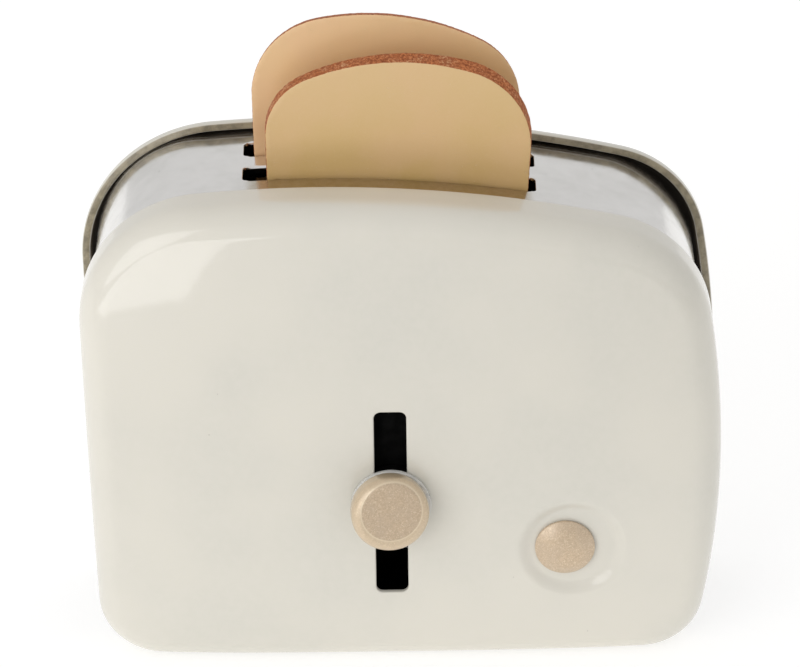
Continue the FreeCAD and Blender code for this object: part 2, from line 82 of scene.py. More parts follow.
# ---- body outline and covers
cover_sheet = 0.45
body_width = 60.0
body_height = 48.9
body_middle_x = 0.23
top_arc_radius = 122.4
top_peak_x = -7.9
side_radii = (2500.0, 95.0)
side_leans = (1.0, -1.7)  # degrees by which the sides spread towards the top
shoulder_radii = (12.2, 11.5)
foot_radii = (6.05, 5.9)
rear_margin = 0.43  # the rear cover is a little larger, and sits a little to the left
rear_shift_x = -0.16
rear_shoulder_radii = (14.0, 10.6)
front_crown = 0.6
front_edge_radius = 2.9
rear_edge_radius = 1.2
cut_edge_radius = 0.14  # paint rounds the skirt's cut edge
rear_hem = 0.80  # the rear cover's rim is turned in and so looks thicker
rear_hem_radius = 0.22
foot_clear = 4.0  # the hem fades out towards the foot, between this height and twice as high
dent_depth = 0.02  # unevenness of the pressed sheet
dent_length = 13.0
face_margin = 4.9  # the rings along the outline reach this far in

# ---- lever slot and dish
lever_x = (washer_low.x + washer_high.x) / 2
lever_z = (washer_low.z + washer_high.z) / 2
lever_slot_width = 3.05
lever_slot_length = 19.75
lever_slot_corner = 0.65
slot_paint_radius = 0.16  # paint rounds the slot's edge
button_x = (button_low.x + button_high.x) / 2
button_z = (button_low.z + button_high.z) / 2
dish_x = button_x + 0.7
dish_z = button_z - 0.05
dish_floor_radius = 3.85
dish_mouth_radius = 5.35
dish_depth = 0.5
button_hole_radius = 1.06

# ---- band
band_sheet = 0.3
band_gap_top = 0.3
band_gap_side = 0.55
band_gap_bottom = 0.3
band_insets = [cover_sheet + gap for gap in (band_gap_side, band_gap_top, band_gap_bottom)]
rear_flange_width = 1.8
rear_bend_radius = 0.6
bread_slot_length = 27.4
bread_slot_width = 2.7
bread_slot_pitch = 5.07
bread_slot_x = -0.8
bread_slot_shift = 0.6
bread_slot_corner = 0.4
slot_lip_depth = 1.2
slot_lip_end_gap = 0.5
slot_end_radius = 0.06  # the slots' ends aren't folded
seam_lap_width = 6.0
seam_lap_thickness = 0.25
seam_lap_end_gap = 0.3
band_soft = 0.08  # the rounding of the lips and the lap

# ---- knob, button and washers
knob_radius = 3.7
knob_offset_x = -0.22  # the knob sits a little off its shank
knob_offset_z = 0.25
knob_thickness = 2.1
knob_edge_radius = 0.9
knob_back_radius = 0.3
knob_gap = 0.75
knob_tilt_up = 9.0
knob_tilt_right = 6.0
knob_face = (lever_x + 0.04, lever_z + 1.0)  # the middle of its flat face, tilted as it is
knob_face_radius = 2.85
knob_face_dome = ((2.2, 0.004), (1.2, 0.01), (0.0, 0.012))  # radius and rise
shank_radius = 1.425
tenon_radius = 0.875
tenon_head_radius = 1.475
tenon_head_height = 0.4
tenon_head_soft = 0.2
lift_sheet = 0.4
washer_radius = 3.8
washer_hole_radius = 1.525
washer_edge_radius = 0.12
button_radius = 2.85
button_rim = 0.3
button_soft = 0.08  # the rounding behind its rim
button_shank_radius = 1.0
button_gap = 0.06

# ---- toast
slice_thickness = 1.25
slice_top_draft = 17.0
slice_side_draft = 3.0
slice_side_radius = 500.0
slice_foot_radius = 2.5
slice_edge_soft = 0.1  # the rounding of a slice's edges
crust_grain = 0.035  # roughness of the painted crust edge
crumb_shade_z = 44.0  # below this the crumb is darkest: partly its own colour, partly painted shade from the slot

# ---- camera
camera_distance = 450.0
camera_pitch = 0.502  # radians, looking down
camera_roll = 0.0146
camera_lens = 218.22
target_x = -0.005
target_z = 36.388  # the point looked at lies in the plane of the front cover's face

# ---- light and floor
key_place = (-300.0, -395.0, 180.0)
key_target = (0.0, 0.0, 30.0)
key_size = (400.0, 350.0)
key_radiance = 1.8
glow_place = (-86.0, -267.0, 2.0)
glow_target = (-86.0, -267.0, 50.0)  # straight above
glow_size = (114.0, 350.0)
glow_radiance = 2.2
front_sky = 0.68
back_sky = 0.74
sky_fade = (-0.85, 0.0)  # from the front sky to the back one, by direction along Y
backdrop_white = 1.0
floor_half = 700.0
floor_z = -0.02
floor_bounce = (0.93, 0.93, 0.92)
floor_far_painted_shade = (0.45, 0.45, 0.46)
floor_shade_span = (60.0, 190.0)  # between these distances ahead the table is painted darker to other light: painted shade where the light would fall off
floor_seen = (0.60, 0.60, 0.60)
floor_glow = 0.56  # what the camera sees of the table is lifted to white by this much
near_painted_glow = 0.30  # the table just ahead of the toy glows as painted light, throwing a little more light on the toy
near_fade = (20.0, 70.0)  # that light fades out between these distances ahead

body_middle_y = (front_high.y + rear_low.y) / 2


# ---- outlines
def circle_cross(centre_a, radius_a, centre_b, radius_b, near):
    """The crossing of two circles that lies nearest to the point near."""
    gap = centre_b - centre_a
    along = (radius_a ** 2 - radius_b ** 2 + gap.length_squared) / (2 * gap.length)
    aside = math.sqrt(radius_a ** 2 - along ** 2)
    unit = gap.normalized()
    normal = Vector((-unit.y, unit.x))
    crossings = [centre_a + unit * along + normal * sign * aside for sign in (1, -1)]
    return min(crossings, key=lambda point: (point - near).length)


def bearing(start, end):
    """The angle of the way from start to end, from -90 degrees up to 270."""
    angle = math.atan2(end.y - start.y, end.x - start.x)
    return angle if angle >= -math.pi / 2 else angle + 2 * math.pi


@dataclass
class Outline:
    """A closed XZ outline: flat foot, bowed sides, a low arc on top and round corners."""

    left: float
    right: float
    bottom: float
    top: float
    arc_radius: float
    peak_x: float
    sides: tuple
    shoulders: tuple
    feet: tuple
    leans: tuple

    def corners(self, index, arc, side, top, bottom):
        """The centres and radii of the foot, bow and shoulder arcs on one side, moved inwards."""
        sign = (-1, 1)[index]
        edge_x = (self.left, self.right)[index]
        lean = math.radians(self.leans[index])
        bow_centre = Vector((edge_x - sign * self.sides[index] * math.cos(lean),
                             (self.bottom + self.top) / 2 + self.sides[index] * math.sin(lean)))
        bow_radius = self.sides[index] - side
        shoulder_radius = self.shoulders[index] - (side + top) / 2
        foot_radius = self.feet[index] - (side + bottom) / 2
        near = Vector((edge_x - sign * self.shoulders[index], self.top - self.shoulders[index]))
        shoulder_centre = circle_cross(arc[0], arc[1] - shoulder_radius,
                                       bow_centre, bow_radius - shoulder_radius, near)
        foot_z = self.bottom + bottom + foot_radius
        foot_reach = math.sqrt((bow_radius - foot_radius) ** 2 - (foot_z - bow_centre.y) ** 2)
        foot_centre = Vector((bow_centre.x + sign * foot_reach, foot_z))
        return (foot_centre, foot_radius), (bow_centre, bow_radius), (shoulder_centre, shoulder_radius)

    def arcs(self, side, top, bottom):
        """Each arc as (centre, radius, start angle, end angle), anticlockwise from the right foot."""
        arc = (Vector((self.peak_x, self.top - self.arc_radius)), self.arc_radius - top)
        right = self.corners(1, arc, side, top, bottom)
        left = self.corners(0, arc, side, top, bottom)
        chain = [*right, arc, *reversed(left)]
        joints = []
        for pair in zip(chain, chain[1:]):
            small, large = sorted(pair, key=lambda member: member[1])
            joints.append(bearing(large[0], small[0]))
        angles = [-math.pi / 2, *joints, 3 * math.pi / 2]
        return [(*member, start, end) for member, start, end in zip(chain, angles, angles[1:])]

    def points(self, step, side=0.0, top=0.0, bottom=0.0, like=None):
        """Points and outward normals, anticlockwise from the foot's middle, about step apart."""
        widest = (like or self).arcs(0.0, 0.0, 0.0)
        counts = [max(3, math.ceil(radius * (end - start) / step)) for _, radius, start, end in widest]
        half = max(2, math.ceil((widest[0][0].x - widest[-1][0].x) / 2 / step))
        arcs = self.arcs(side, top, bottom)
        places, normals = [], []
        for (centre, radius, start, end), count in zip(arcs, counts):
            for i in range(count):
                angle = start + (end - start) * i / count
                normal = (math.cos(angle), math.sin(angle))
                normals.append(normal)
                places.append((centre.x + radius * normal[0], centre.y + radius * normal[1]))
        floor = self.bottom + bottom
        left_end = arcs[-1][0].x
        right_start = places[0][0]
        middle = (left_end + right_start) / 2
        lead = [(middle + (right_start - middle) * i / half, floor) for i in range(half)]
        tail = [(left_end + (middle - left_end) * i / half, floor) for i in range(half)]
        places = lead + places + tail
        normals = [(0.0, -1.0)] * half + normals + [(0.0, -1.0)] * half
        return np.array(places), np.array(normals)


body_outline = Outline(body_middle_x - body_width / 2, body_middle_x + body_width / 2, 0.0, body_height,
                       top_arc_radius, top_peak_x, side_radii, shoulder_radii, foot_radii, side_leans)
rear_outline = Outline(body_outline.left - rear_margin + rear_shift_x,
                       body_outline.right + rear_margin + rear_shift_x, 0.0, body_height + rear_margin,
                       top_arc_radius + rear_margin, top_peak_x + rear_shift_x,
                       [radius + rear_margin for radius in side_radii], rear_shoulder_radii, foot_radii,
                       side_leans)


def rounded_rectangle(centre, half, corner, step):
    """Points and outward normals around an upright rectangle with round corners."""
    places, normals = [], []
    inner = [(centre[0] + sx * (half[0] - corner), centre[1] + sz * (half[1] - corner))
             for sx, sz in ((1, -1), (1, 1), (-1, 1), (-1, -1))]
    turns = 6
    for index, (x, z) in enumerate(inner):
        start = -math.pi / 2 + index * math.pi / 2
        next_x, next_z = inner[(index + 1) % 4]
        count = math.ceil(math.hypot(next_x - x, next_z - z) / step)
        stops = [(0.0, start + math.pi / 2 * i / turns) for i in range(turns + 1)]
        stops += [(i / count, start + math.pi / 2) for i in range(1, count)]
        for share, angle in stops:
            normal = (math.cos(angle), math.sin(angle))
            normals.append(normal)
            places.append((x + (next_x - x) * share + corner * normal[0],
                           z + (next_z - z) * share + corner * normal[1]))
    return np.array(places), np.array(normals)


def in_rectangle(place, centre, half, corner):
    """Whether a place lies inside a rectangle with round corners."""
    dx, dz = (abs(p - c) - (h - corner) for p, c, h in zip(place, centre, half))
    return max(dx, dz) < corner and (min(dx, dz) < 0 or math.hypot(dx, dz) < corner)


def clear_of_rectangle(places, centre, half, distance):
    """The places that lie further than distance from a rectangle."""
    beyond = np.maximum(np.abs(places - centre) - half, 0)
    return places[np.hypot(*beyond.T) > distance]


# ---- meshes
class Form:
    """Collects the points and faces of one piece, in millimetres."""

    def __init__(self):
        self.points = []
        self.faces = []

    def row(self, points):
        """Adds points and returns their numbers."""
        start = len(self.points)
        self.points.extend(Vector(point) for point in points)
        return list(range(start, len(self.points)))

    def bridge(self, row_a, row_b, closed=True):
        """Quads between two rows of equal length."""
        count = len(row_a)
        for i in range(count if closed else count - 1):
            j = (i + 1) % count
            self.faces.append((row_a[i], row_a[j], row_b[j], row_b[i]))

    def bridge_all(self, rows, closed=True):
        """Quads between each row and the next."""
        for row_a, row_b in zip(rows, rows[1:]):
            self.bridge(row_a, row_b, closed)

    def piece(self, name, material, merge=0.0005, sharp=40.0):
        """The finished mesh object, smooth except at edges sharper than the angle given."""
        mesh = bpy.data.meshes.new(name)
        mesh.from_pydata([point * MM for point in self.points], [], self.faces)
        work = bmesh.new()
        work.from_mesh(mesh)
        bmesh.ops.remove_doubles(work, verts=work.verts, dist=merge * MM)
        bmesh.ops.dissolve_degenerate(work, edges=work.edges, dist=merge * MM / 10)
        bmesh.ops.recalc_face_normals(work, faces=work.faces)
        work.to_mesh(mesh)
        work.free()
        mesh.shade_smooth()
        mesh.set_sharp_from_angle(angle=math.radians(sharp))
        mesh.materials.append(material)
        return place_object(name, mesh)


def triangulate(loops, loose, unwanted):
    """Triangles over loops and loose points, but for those whose centre is unwanted."""
    points = [Vector(point) for row in (*loops, loose) for point in row]
    starts = list(accumulate([0] + [len(loop) for loop in loops]))
    edges = [(start + i, start + (i + 1) % len(loop))
             for start, loop in zip(starts, loops) for i in range(len(loop))]
    places, _, faces, origins = delaunay_2d_cdt(points, edges, [], 0, 1e-6)[:4]
    number = {source: made for made, sources in enumerate(origins) for source in sources}
    kept = []
    for face in faces:
        centre = sum((places[i] for i in face), Vector((0, 0))) / len(face)
        if not unwanted(centre.x, centre.y):
            kept.append(tuple(face))
    rings = [[number[start + i] for i in range(len(loop))] for start, loop in zip(starts, loops)]
    return [(p.x, p.y) for p in places], kept, rings


def honeycomb(low, high, step):
    """Points of a triangular grid over a rectangle."""
    places = []
    for j in range(math.ceil((high[1] - low[1]) / (step * math.sqrt(3) / 2)) + 1):
        y = low[1] + j * step * math.sqrt(3) / 2
        x = low[0] + (step / 2 if j % 2 else 0.0)
        while x <= high[0]:
            places.append((x, y))
            x += step
    return np.array(places)


def inside_convex(places, loop, margin):
    """The places that lie inside a convex anticlockwise loop by at least margin."""
    kept = np.ones(len(places), bool)
    for corner_point, edge in zip(loop, np.roll(loop, -1, axis=0) - loop):
        length = math.hypot(*edge)
        if length > 1e-9:
            aside = places - corner_point
            kept &= (edge[0] * aside[:, 1] - edge[1] * aside[:, 0]) / length > margin
    return places[kept]


def two_sides(form, loops, loose, drops, unwanted, put):
    """Adds both sides of a sheet and the walls around its holes, which are the loops after the first.

    drops says how far the loops' points and then the first loose ones lie below the surface, and
    put(a, b, drop) gives the outer and the inner place of a point.
    """
    places, faces, rings = triangulate(loops, loose, unwanted)
    given = [tuple(point) for row in (*loops, loose) for point in row]
    lookup = {(round(a, 4), round(b, 4)): drop for (a, b), drop in zip(given, drops) if drop}
    pairs = [put(a, b, lookup.get((round(a, 4), round(b, 4)), 0.0)) for a, b in places]
    first, second = (form.row(side) for side in zip(*pairs))
    for face in faces:
        form.faces.append(tuple(first[i] for i in face))
        form.faces.append(tuple(second[i] for i in reversed(face)))
    for ring in rings[1:]:
        form.bridge([first[i] for i in ring], [second[i] for i in ring])


def line(made, material, chosen):
    """Gives the faces that chosen(centre, normal) picks a material of their own."""
    made.data.materials.append(material)
    for polygon in made.data.polygons:
        if chosen(polygon.center / MM, polygon.normal):
            polygon.material_index = 1
    return made


def ridge(x, z, seed, length, height):
    """Smooth unevenness, from -height to height."""
    return height * noise.noise(Vector((x / length, z / length, seed)))


def quarter_drop(radius, reach):
    """How far a rounded edge has dropped at a distance reach from the edge."""
    return radius - math.sqrt(radius ** 2 - (radius - reach) ** 2) if reach < radius else 0.0


# ---- covers
def crown_drop(x, z):
    """How far the domed front has fallen back at (x, z)."""
    across = abs(x - body_middle_x) / (body_width / 2)
    upward = abs(z - body_height / 2) / (body_height / 2)
    return front_crown * (across ** 3 + upward ** 3) ** 2


def dish_drop(x, z):
    """How deep the dish around the button lies at (x, z)."""
    radius = math.hypot(x - dish_x, z - dish_z)
    share = min(max((radius - dish_floor_radius) / (dish_mouth_radius - dish_floor_radius), 0.0), 1.0)
    return dish_depth * (1 - share * share * (3 - 2 * share))


@dataclass
class Pan:
    """A pressed cover.  Its depth is counted from the skirt's cut edge towards the face."""

    outline: Outline
    cut_y: float
    face_y: float
    edge_radius: float
    drop: callable
    seed: float
    sheet: float = cover_sheet
    rounding: float = cut_edge_radius

    def __post_init__(self):
        self.toward = 1.0 if self.face_y > self.cut_y else -1.0
        self.depth = abs(self.face_y - self.cut_y)

    def height(self, x, z):
        """The outside of the face at (x, z)."""
        dents = ridge(x, z, self.seed, dent_length, dent_depth) - dent_depth
        return self.depth - self.drop(x, z) + dents

    def at(self, x, z, height):
        """The point of the row frame at a height above the cut edge's plane."""
        return (x, self.cut_y + self.toward * height, z)

    def both(self, x, z, drop):
        """The outer and the inner point of the face at (x, z)."""
        height = self.height(x, z)
        return self.at(x, z, height - drop), self.at(x, z, height - self.sheet)

    def is_inside(self, centre, normal):
        """Whether a face of the mesh belongs to the cover's inside."""
        height = (centre.y - self.cut_y) * self.toward
        outwards = normal.x * (centre.x - body_middle_x) + normal.z * (centre.z - body_height / 2)
        behind_face = normal.y * self.toward < -0.3 and height > cut_edge_radius * 1.5
        skirt_top = self.depth - 1.5 * cover_sheet - front_crown
        return behind_face or (outwards < -1.0 and cut_edge_radius < height < skirt_top)

    def section(self, place, normal):
        """The (inset, height) points of the sheet's section at one place of the outline."""
        def rise(inset):
            return self.height(place[0] - inset * normal[0], place[1] - inset * normal[1])
        lifted = min(max((place[1] - foot_clear) / foot_clear, 0.0), 1.0)
        sheet = cover_sheet + (self.sheet - cover_sheet) * lifted
        radius, tiny = self.edge_radius, 0.05
        touch = radius
        for _ in range(4):
            slope = (rise(touch + tiny) - rise(touch - tiny)) / (2 * tiny)
            root = math.sqrt(1 + slope * slope)
            centre = rise(touch) - slope * touch + slope * radius - radius * root
            touch = radius - radius * slope / root
        turn = math.atan2(1, slope)
        bend = [turn * i / 12 for i in range(13)]
        quarter = [math.pi / 2 * i / 4 for i in range(5)]
        walls = [0.2, 0.4, 0.6, 0.8]
        rho = self.rounding
        outside = [(rho - rho * math.sin(a), rho - rho * math.cos(a)) for a in quarter]
        outside += [(0.0, rho + (centre - rho) * share) for share in walls]
        outside += [(radius - radius * math.cos(a), centre + radius * math.sin(a)) for a in bend]
        insets = [touch + (face_margin - touch) * share for share in (0.12, 0.3, 0.5, 0.75, 1.0)]
        outside += [(inset, rise(inset)) for inset in insets]
        small = radius - sheet
        inside = [(face_margin, rise(face_margin) - sheet)]
        inside += [(radius - small * math.cos(a), centre + small * math.sin(a)) for a in reversed(bend)]
        inside += [(sheet, centre + (rho - centre) * share) for share in walls]
        inside += [(sheet - rho + rho * math.cos(a), rho - rho * math.sin(a)) for a in quarter]
        return inside + outside

    def shell(self, form, step=0.5):
        """Adds the skirt and the rim of the face; returns where the rim ends."""
        places, normals = self.outline.points(step)
        lines = [[self.at(x - inset * nx, z - inset * nz, height)
                  for inset, height in self.section((x, z), (nx, nz))]
                 for (x, z), (nx, nz) in zip(places, normals)]
        form.bridge_all([form.row(points) for points in zip(*lines)])
        return places - face_margin * normals


def front_cover(material, inside):
    """The domed front cover with the lever slot, the dish and the button's hole."""
    pan = Pan(body_outline, front_high.y, front_low.y, front_edge_radius,
              lambda x, z: crown_drop(x, z) + dish_drop(x, z), 3.1)
    form = Form()
    rim = pan.shell(form)
    slot_middle, slot_half = (lever_x, lever_z), (lever_slot_width / 2, lever_slot_length / 2)
    slot, slot_normals = rounded_rectangle(slot_middle, slot_half, lever_slot_corner, 0.35)
    turns = np.linspace(0, 2 * math.pi, 96, endpoint=False)
    circle = np.stack([np.cos(turns), np.sin(turns)], axis=1)
    button, dish = np.array((button_x, button_z)), np.array((dish_x, dish_z))
    hole = button + button_hole_radius * circle
    loose, drops = [], [0.0] * len(rim) + [slot_paint_radius] * len(slot) + [0.0] * len(hole)
    bend = [slot_paint_radius * (1 - math.cos(math.radians(angle))) for angle in (25, 45, 65, 90)]
    for reach in bend + [0.35, 0.6]:
        loose.extend(slot + reach * slot_normals)
        drops.extend([quarter_drop(slot_paint_radius, reach)] * len(slot))
    for radius in [1.8, 2.6, 3.2, 3.6] + list(np.arange(3.85, 5.6, 0.1)) + [5.8, 6.15]:
        loose.extend((button if radius < button_hole_radius + 1.2 else dish) + radius * circle)
    grid = honeycomb(front_low.xz, front_high.xz, 0.75)
    grid = clear_of_rectangle(inside_convex(grid, rim, 0.35), slot_middle, slot_half, 0.95)
    loose.extend(grid[np.hypot(*(grid - dish).T) > 6.6])

    def unwanted(x, z):
        in_hole = math.hypot(x - button_x, z - button_z) < button_hole_radius * 0.995
        return in_hole or in_rectangle((x, z), slot_middle, slot_half, lever_slot_corner)

    two_sides(form, [rim, slot, hole], loose, drops, unwanted, pan.both)
    return line(form.piece("front_cover_enamel", material, sharp=50.0), inside, pan.is_inside)


def rear_cover(material, inside):
    """The shallow rear cover, hemmed at its rim."""
    pan = Pan(rear_outline, rear_low.y, rear_high.y, rear_edge_radius, lambda x, z: 0.0, 8.6,
              rear_hem, rear_hem_radius)
    form = Form()
    rim = pan.shell(form)
    grid = inside_convex(honeycomb(rear_low.xz, rear_high.xz, 1.2), rim, 0.5)
    two_sides(form, [rim], grid, [], lambda x, z: False, pan.both)
    return line(form.piece("rear_cover_enamel", material, sharp=50.0), inside, pan.is_inside)


# ---- band
class Sleeve:
    """The band's outer surface, unrolled: along its outline and across it."""

    def __init__(self):
        places, normals = body_outline.points(0.1, *band_insets)
        self.places = np.vstack([places, places[:1]])
        self.normals = np.vstack([normals, normals[:1]])
        steps = np.hypot(*np.diff(self.places, axis=0).T)
        self.run = np.concatenate([[0.0], np.cumsum(steps)])
        self.length = self.run[-1]

    def at(self, along, y, inwards=0.0):
        """The point of the row frame at a place on the unrolled band."""
        x, z = (np.interp(along, self.run, column) for column in self.places.T)
        normal = Vector([np.interp(along, self.run, column) for column in self.normals.T]).normalized()
        return (x - inwards * normal.x, y, z - inwards * normal.y)

    def along_top(self, x):
        """The place along the band where its top is at x."""
        top = self.places[:, 1] > (front_low.z + front_high.z) * 0.75
        return float(np.interp(x, self.places[top, 0][::-1], self.run[top][::-1]))


def bread_slots():
    """The middle of each bread slot across the band."""
    middle = body_middle_y + bread_slot_shift
    return (middle - bread_slot_pitch / 2, middle + bread_slot_pitch / 2)


def sweep(form, section, spine):
    """Adds a bar: spine is a list of functions that put a section point (a, b) in the row frame."""
    rows = [form.row([put(a, b) for a, b in section]) for put in spine]
    form.bridge_all(rows)
    form.faces.extend([tuple(reversed(rows[0])), tuple(rows[-1])])


def band_dents(along, y):
    """The rolled sheet isn't quite flat."""
    return ridge(along, y * 0.6, 5.3, 9.0, 0.012) + ridge(along, y, 1.7, 3.5, 0.004)


def band(material, inside):
    """The tinplate sleeve with its slots, lips, flanges and seam."""
    low, high = cad("band")
    sleeve = Sleeve()
    form = Form()
    start_y, bend_y = low.y, high.y - rear_bend_radius
    along_steps = np.linspace(0, sleeve.length, 400)
    across_steps = np.linspace(start_y, bend_y, 24)
    border = [(a, start_y) for a in along_steps[:-1]] + [(sleeve.length, y) for y in across_steps[:-1]]
    border += [(a, bend_y) for a in along_steps[:0:-1]] + [(0.0, y) for y in across_steps[:0:-1]]
    left_end, right_end = (sleeve.along_top(bread_slot_x + side * bread_slot_length / 2) for side in (-1, 1))
    middles = [((left_end + right_end) / 2, slot_y) for slot_y in bread_slots()]
    half = (abs(left_end - right_end) / 2, bread_slot_width / 2)
    grid = honeycomb((0.35, start_y + 0.35), (sleeve.length - 0.35, bend_y - 0.3), 0.62)
    loops, loose, edge_drops, ring_drops = [border], [], [0.0] * len(border), []
    for middle in middles:
        edge, normals = rounded_rectangle(middle, half, bread_slot_corner, 0.4)
        near_end = half[0] - np.abs(edge[:, 0] - middle[0])
        folded = np.clip((near_end - slot_lip_end_gap + 0.1) / 0.2, 0, 1)
        radii = slot_end_radius + (band_sheet - slot_end_radius) * folded
        loops.append(edge)
        edge_drops.extend(radii)
        for reach in (0.02, 0.05, 0.1, 0.17, 0.24, 0.3, 0.5):
            loose.extend(edge + reach * normals)
            ring_drops.extend(quarter_drop(radius, reach) for radius in radii)
        grid = clear_of_rectangle(grid, middle, half, 0.7)
    loose.extend(grid)

    def unwanted(along, y):
        return any(in_rectangle((along, y), middle, half, bread_slot_corner) for middle in middles)

    def put(along, y, drop):
        calm = min(1.0, (y - start_y) / 2, bend_y - y, along / 3, (sleeve.length - along) / 3)
        dent = band_dents(along, y) * max(calm, 0.0)
        return sleeve.at(along, y, drop + dent), sleeve.at(along, y, band_sheet + dent)

    def is_inside(centre, normal):
        outward = Vector((centre.x - body_middle_x, centre.z - body_height / 2)).normalized()
        return normal.x * outward.x + normal.z * outward.y < -0.5

    two_sides(form, loops, loose, edge_drops + ring_drops, unwanted, put)
    add_flanges(form, sleeve, along_steps[:-1], low.y, high.y)
    add_lips(form, sleeve, left_end, right_end)
    add_seam(form)
    # Faces turned inwards take the near-black inside material, painted shade.
    return line(form.piece("band_tinplate", material, merge=0.002, sharp=45.0), inside, is_inside)


def add_flanges(form, sleeve, along_steps, front_y, rear_y):
    """The outward front flange and the rolled-in rear flange."""
    bend = [math.pi / 2 * i / 5 for i in range(6)]
    bend_y = rear_y - rear_bend_radius
    small = rear_bend_radius - band_sheet
    rear = [(rear_bend_radius * (1 - math.cos(a)), bend_y + rear_bend_radius * math.sin(a)) for a in bend]
    rear += [(rear_flange_width, rear_y), (rear_flange_width, rear_y - band_sheet)]
    rear += [(rear_bend_radius - small * math.cos(a), bend_y + small * math.sin(a)) for a in reversed(bend)]
    form.bridge_all([form.row([sleeve.at(a, y, inwards) for a in along_steps]) for inwards, y in rear])
    outside = body_outline.points(0.5, cover_sheet, cover_sheet, cover_sheet)[0]
    inside = body_outline.points(0.5, *(inset + band_sheet for inset in band_insets))[0]
    rows = [form.row([(x, front_y + back, z) for x, z in ring])
            for ring, back in ((outside, 0.0), (outside, band_sheet), (inside, band_sheet), (inside, 0.0))]
    form.bridge_all(rows + rows[:1])


def add_lips(form, sleeve, left_end, right_end):
    """The lips folded down along the slots' long edges."""
    soft = band_soft
    section = [(0.0, -0.2), (0.0, -slot_lip_depth + soft), (soft, -slot_lip_depth),
               (band_sheet - soft, -slot_lip_depth), (band_sheet, -slot_lip_depth + soft), (band_sheet, -0.2)]
    first, last = sorted((left_end, right_end))
    stations = np.linspace(first + slot_lip_end_gap, last - slot_lip_end_gap, 60)
    for slot_y in bread_slots():
        for side in (-1, 1):
            edge_y = slot_y + side * bread_slot_width / 2
            spine = [lambda a, b, s=s, e=edge_y, k=side: sleeve.at(s, e + k * a, -b) for s in stations]
            sweep(form, section, spine)


def add_seam(form):
    """The lapped seam under the band."""
    soft = band_soft
    top = front_low.z + cover_sheet + band_gap_bottom
    half, under = seam_lap_width / 2, top - seam_lap_thickness
    section = [(-half, top), (-half, under + soft), (-half + soft, under), (half - soft, under),
               (half, under + soft), (half, top)]
    reach = (rear_low.y - front_high.y) / 2 - seam_lap_end_gap
    stations = np.linspace(body_middle_y - reach, body_middle_y + reach, 12)
    sweep(form, section, [lambda a, b, y=y: (a, y, b) for y in stations])


# ---- turned pieces
def turn(form, profile, matrix, closed=False, segments=128):
    """Adds a shape turned about +Z and moved by a matrix; an open profile runs from axis to axis."""
    rows = []
    for radius, height in profile:
        count = segments if radius > 1e-6 else 1
        angles = [2 * math.pi * i / count for i in range(count)]
        ring = [Vector((radius * math.cos(a), radius * math.sin(a), height)) for a in angles]
        rows.append(form.row([matrix @ point for point in ring]))
    for row_a, row_b in zip(rows, rows[1:] + (rows[:1] if closed else [])):
        if len(row_a) == len(row_b):
            form.bridge(row_a, row_b)
            continue
        tip, ring = (row_a[0], row_b) if len(row_a) == 1 else (row_b[0], row_a)
        form.faces.extend((tip, ring[i], ring[(i + 1) % len(ring)]) for i in range(len(ring)))


def corner(centre_radius, centre_height, radius, start, end, count=8):
    """Points of a rounded corner of a profile; angles in degrees from the outward direction."""
    angles = [math.radians(start + (end - start) * i / count) for i in range(count + 1)]
    return [(centre_radius + radius * math.cos(a), centre_height + radius * math.sin(a)) for a in angles]


def facing_front(x, y, z, tilt_up=0.0, tilt_right=0.0):
    """Turns a piece made about +Z to the front, with its base at the point given."""
    return (Matrix.Translation((x, y, z)) @ Matrix.Rotation(math.radians(tilt_right), 4, "Z")
            @ Matrix.Rotation(math.radians(90 - tilt_up), 4, "X"))


def lift_knob(material):
    """The knob, its shank and the riveted tenon behind the lift plate."""
    form = Form()
    back_y = washer_low.y - knob_gap
    back, edge = knob_back_radius, knob_edge_radius
    profile = [(0.0, 0.0)] + corner(knob_radius - back, back, back, -90, 0, 5)
    profile += corner(knob_radius - edge, knob_thickness - edge, edge, 0, 90, 14)
    profile += [(radius, knob_thickness + rise) for radius, rise in knob_face_dome]
    turn(form, profile, facing_front(lever_x + knob_offset_x, back_y, lever_z + knob_offset_z,
                                     knob_tilt_up, knob_tilt_right))
    reach = cad("lift_knob")[1].y - tenon_head_height - lift_sheet - back_y
    plate_back = -reach - lift_sheet
    soft = tenon_head_soft
    head = corner(tenon_head_radius - soft, tenon_head_height - soft, soft, 0, 90, 4)
    profile = [(0.0, knob_thickness / 2), (shank_radius, knob_thickness / 2), (shank_radius, -reach),
               (tenon_radius, -reach), (tenon_radius, plate_back), (tenon_head_radius, plate_back)]
    profile += [(radius, plate_back - height) for radius, height in head]
    profile.append((0.0, plate_back - tenon_head_height))
    turn(form, profile, facing_front(lever_x, back_y, lever_z), segments=64)
    return form.piece("lift_knob_painted", material, sharp=60.0)


def knob_washer(material):
    """The clear washer behind the knob, with softly rounded edges."""
    form = Form()
    thickness = washer_high.y - washer_low.y
    soft, hole = washer_edge_radius, washer_hole_radius
    profile = [(hole, soft), (hole + soft, 0.0)] + corner(washer_radius - soft, soft, soft, -90, 0, 5)
    profile += corner(washer_radius - soft, thickness - soft, soft, 0, 90, 5)
    profile += [(hole + soft, thickness), (hole, thickness - soft)]
    turn(form, profile, facing_front(lever_x, washer_high.y, lever_z), closed=True, segments=160)
    return form.piece("knob_washer_clear", material, sharp=60.0)


def dial_button(material):
    """The domed button with its shank."""
    form = Form()
    back = front_low.y + crown_drop(dish_x, dish_z) + dish_depth - button_gap
    dome = back - button_low.y
    shank_end = dome - (button_high.y - button_low.y)
    profile = [(0.0, shank_end), (button_shank_radius, shank_end), (button_shank_radius, 0.0)]
    profile += corner(button_radius - button_soft, button_soft, button_soft, -90, 0, 3)
    for step in range(1, 19):
        radius = button_radius * math.cos(step / 18 * math.pi / 2) ** 0.9
        rise = button_rim + (dome - button_rim) * (1 - (radius / button_radius) ** 2.5)
        profile.append((max(radius, 0.0), rise))
    turn(form, profile, facing_front(button_x, back, button_z))
    return form.piece("button_painted", material, sharp=60.0)


